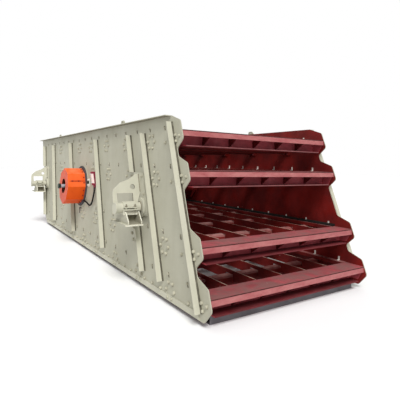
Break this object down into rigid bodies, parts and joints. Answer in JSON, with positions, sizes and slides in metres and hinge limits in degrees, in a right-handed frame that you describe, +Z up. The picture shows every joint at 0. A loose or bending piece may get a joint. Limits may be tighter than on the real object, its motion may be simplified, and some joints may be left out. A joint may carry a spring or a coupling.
{
  "type": "vibrating screen",
  "caption": "Inclined multi-deck vibrating screen box with a central exciter, open bar decks and clamped spring seats, on transport skids.",
  "frame": {"origin": "centre of the footprint, on the plane that the skids stand on", "axes": "+X towards the discharge end, +Z up, -Y the side with the capped shaft end and the grease hose"},
  "size_m": [8.2543, 3.29, 2.16],
  "materials": {
    "outer_paint": "satin, dusty",
    "rib_paint": "satin, dusty",
    "deck_paint": "satin",
    "worn_lip": "worn, matt",
    "guard_paint": "satin",
    "dark_paint": "matt",
    "casting": "as cast",
    "bright_steel": "machined",
    "cap_paint": "satin",
    "maroon_paint": "satin",
    "black_rubber": "matt",
    "skid_paint": "matt"
  },
  "bodies": {
    "screen_box": {"bearing_housings": "casting", "bottom_strip_far": "rib_paint", "bottom_strip_near": "rib_paint", "cross_tubes_1": "deck_paint", "cross_tubes_2": "deck_paint", "cross_tubes_3": "deck_paint", "cross_tubes_4": "deck_paint", "deck_bars_1": "deck_paint", "deck_bars_2": "deck_paint", "deck_bars_3": "deck_paint", "deck_bars_4": "deck_paint", "discharge_beam_1": "deck_paint", "discharge_beam_2": "deck_paint", "discharge_beam_3": "deck_paint", "discharge_beam_4": "deck_paint", "discharge_lip_1": "worn_lip", "discharge_lip_2": "worn_lip", "discharge_lip_3": "worn_lip", "discharge_lip_4": "worn_lip", "exciter_tube": "deck_paint", "feed_back_plate": "deck_paint", "front_skid": "skid_paint", "grease_hose": "black_rubber", "guard_rings": "dark_paint", "hose_elbow": "bright_steel", "lifting_lugs": "outer_paint", "lubrication_block": "maroon_paint", "rear_skid": "skid_paint", "side_plate_far": "outer_paint", "side_plate_near": "outer_paint", "side_rails_1": "deck_paint", "side_rails_2": "deck_paint", "side_rails_3": "deck_paint", "side_rails_4": "deck_paint", "stiffeners_far": "rib_paint", "stiffeners_near": "rib_paint", "support_brackets_far": "rib_paint", "support_brackets_near": "rib_paint", "wheel_guard_far": "guard_paint", "wheel_guard_near": "guard_paint"},
    "rotor": {"exciter_shaft": "bright_steel", "eccentric_wheels": "casting", "shaft_end_cap": "cap_paint"},
    "seat_near_discharge": {"spring_seat_near_discharge": "rib_paint", "clamp_cap_near_discharge": "rib_paint"},
    "seat_near_feed": {"spring_seat_near_feed": "rib_paint", "clamp_cap_near_feed": "rib_paint"},
    "seat_far_discharge": {"spring_seat_far_discharge": "rib_paint", "clamp_cap_far_discharge": "rib_paint"},
    "seat_far_feed": {"spring_seat_far_feed": "rib_paint", "clamp_cap_far_feed": "rib_paint"}
  },
  "joints": [
    {"name": "exciter_spin", "type": "hinge", "parent": "screen_box", "child": "rotor", "pos_m": [-0.16189, 0, 1.096], "axis": [0, 1, 0], "continuous": true},
    {"name": "seat_near_discharge_tilt", "type": "hinge", "parent": "screen_box", "child": "seat_near_discharge", "pos_m": [2.56297, -1.412, 0.981], "axis": [0, 1, 0], "range_deg": [-25, 25]},
    {"name": "seat_near_feed_tilt", "type": "hinge", "parent": "screen_box", "child": "seat_near_feed", "pos_m": [-3.14703, -1.412, 0.981], "axis": [0, 1, 0], "range_deg": [-25, 25]},
    {"name": "seat_far_discharge_tilt", "type": "hinge", "parent": "screen_box", "child": "seat_far_discharge", "pos_m": [2.56297, 1.412, 0.981], "axis": [0, 1, 0], "range_deg": [-25, 25]},
    {"name": "seat_far_feed_tilt", "type": "hinge", "parent": "screen_box", "child": "seat_far_feed", "pos_m": [-3.14703, 1.412, 0.981], "axis": [0, 1, 0], "range_deg": [-25, 25]}
  ]
}
